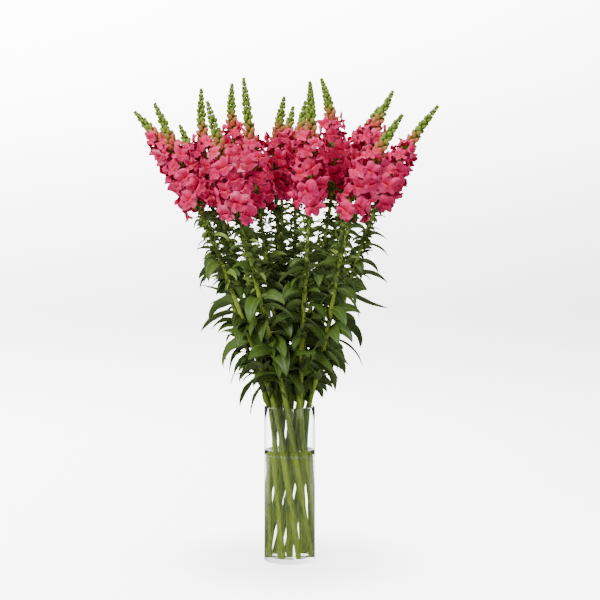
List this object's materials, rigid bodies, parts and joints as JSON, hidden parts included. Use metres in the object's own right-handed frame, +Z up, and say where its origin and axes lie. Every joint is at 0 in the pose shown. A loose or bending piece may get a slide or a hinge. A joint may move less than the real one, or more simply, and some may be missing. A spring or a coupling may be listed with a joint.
{
  "type": "snapdragon in vase",
  "caption": "Bunch of cut pink snapdragons, with flower spikes and drooping green leaves, standing in a tall clear glass cylinder vase part filled with water.",
  "frame": {"origin": "centre of the vase's underside, on the surface it stands on", "axes": "+Z up along the vase's axis; -Y towards the viewer of the picture; +X to the viewer's right"},
  "size_m": [0.6133, 0.3951, 0.954],
  "materials": {
    "glass": "clear, polished",
    "water": "clear water, still",
    "greens": "living plant, matt to satin",
    "petals": "soft petals, matt"
  },
  "bodies": {
    "root": {"vase": "glass", "water": "water", "stem_01": "greens", "stem_02": "greens", "stem_03": "greens", "stem_04": "greens", "stem_05": "greens", "stem_06": "greens", "stem_07": "greens", "stem_08": "greens", "stem_09": "greens", "stem_10": "greens", "stem_11": "greens", "stem_12": "greens", "stem_13": "greens", "stem_14": "greens", "stem_15": "greens", "stem_16": "greens", "bloom_01": "petals", "bloom_02": "petals", "bloom_03": "petals", "bloom_04": "petals", "bloom_05": "petals", "bloom_06": "petals", "bloom_07": "petals", "bloom_08": "petals", "bloom_09": "petals", "bloom_10": "petals", "bloom_11": "petals", "bloom_12": "petals", "bloom_13": "petals", "bloom_14": "petals", "bloom_15": "petals", "bloom_16": "petals"}
  },
  "joints": []
}
